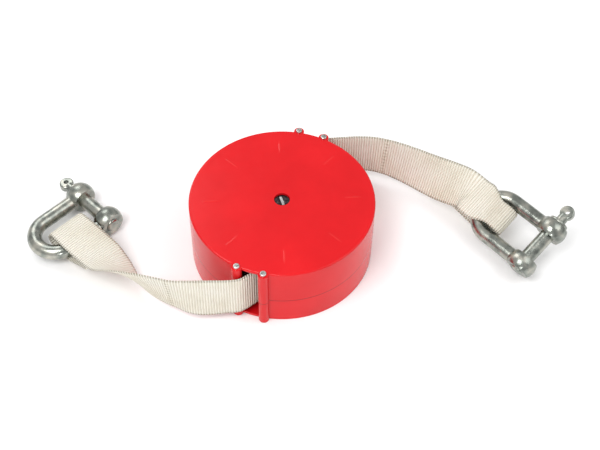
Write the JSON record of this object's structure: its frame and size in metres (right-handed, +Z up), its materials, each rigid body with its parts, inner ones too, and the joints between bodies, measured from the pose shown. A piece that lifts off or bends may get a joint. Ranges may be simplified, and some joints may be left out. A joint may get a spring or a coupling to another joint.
{
  "type": "boat trailer winch",
  "caption": "Round spring winch reel paying out two webbing straps, each ending in a sewn loop with a D shackle.",
  "frame": {"origin": "centre of the casing's flat bottom face", "axes": "+Z up along the drum's axis; +X runs from the left shackle to the right one"},
  "size_m": [0.5125, 0.1778, 0.07],
  "materials": {
    "red_casing": "glossy saturated red moulding",
    "webbing": "off-white woven webbing",
    "galvanised": "mottled galvanised steel",
    "zinc_steel": "zinc plated steel",
    "dark_steel": "dark oiled steel",
    "bright_steel": "bright steel",
    "spring_steel": "blued spring steel",
    "brass_insert": "knurled brass",
    "black_bush": "black acetal"
  },
  "bodies": {
    "case": {"lower_case": "red_casing", "upper_case": "red_casing", "case_screws": "zinc_steel", "threaded_inserts": "brass_insert", "spring_arbor": "dark_steel", "arbor_key": "bright_steel", "arbor_washer": "black_bush", "pawl_pin": "bright_steel", "left_strap": "webbing", "right_strap": "webbing"},
    "drum": {"drum_hub": "zinc_steel", "upper_flange": "zinc_steel", "ratchet_flange": "zinc_steel", "lower_flange_rivets": "bright_steel", "upper_flange_screws": "zinc_steel", "lower_bush": "black_bush", "upper_bush": "black_bush", "mainspring": "spring_steel", "left_wound_strap": "webbing", "right_wound_strap": "webbing"},
    "pawl": {"pawl": "dark_steel", "pawl_spring": "spring_steel"},
    "left_end": {"left_strap_loop": "webbing"},
    "left_bow": {"left_shackle_bow": "galvanised"},
    "left_pin": {"left_shackle_pin": "galvanised"},
    "right_end": {"right_strap_loop": "webbing"},
    "right_bow": {"right_shackle_bow": "galvanised"},
    "right_pin": {"right_shackle_pin": "galvanised"}
  },
  "joints": [
    {"name": "drum_spin", "type": "hinge", "parent": "case", "child": "drum", "pos_m": [0, 0, 0.034], "axis": [0, 0, 1], "range_deg": [-375, 30], "deforming": ["mainspring"]},
    {"name": "pawl_rock", "type": "hinge", "parent": "case", "child": "pawl", "pos_m": [-0.0775, 0, 0.006], "axis": [0, 0, 1], "range_deg": [0, 33], "deforming": ["pawl_spring"]},
    {"name": "left_payout", "type": "slide", "parent": "case", "child": "left_end", "axis": [-0.8582, 0.5133, 0], "range_m": [-0.024, 0.295], "deforming": ["left_strap"]},
    {"name": "right_payout", "type": "slide", "parent": "case", "child": "right_end", "axis": [0.9192, -0.3938, 0], "range_m": [-0.024, 0.295], "deforming": ["right_strap"]},
    {"name": "left_shackle_swing", "type": "hinge", "parent": "left_end", "child": "left_bow", "pos_m": [-0.16615, 0.01815, 0.014], "axis": [0.7071, 0.7071, 0], "range_deg": [0, 110], "deforming": ["left_strap_loop"]},
    {"name": "right_shackle_swing", "type": "hinge", "parent": "right_end", "child": "right_bow", "pos_m": [0.1919, 0.02705, 0.026], "axis": [-0.6834, -0.6015, -0.4137], "range_deg": [0, 100], "deforming": ["right_strap_loop"]},
    {"name": "left_pin_slide", "type": "slide", "parent": "left_bow", "child": "left_pin", "axis": [-0.7071, 0.7071, 0], "range_m": [0, 0.045]},
    {"name": "right_pin_slide", "type": "slide", "parent": "right_bow", "child": "right_pin", "axis": [0.6834, 0.6015, 0.4137], "range_m": [0, 0.045]}
  ],
  "couplings": [
    {"joint": "left_payout", "follows": "drum_spin", "m_per_rad": -0.045},
    {"joint": "right_payout", "follows": "drum_spin", "m_per_rad": -0.045}
  ]
}
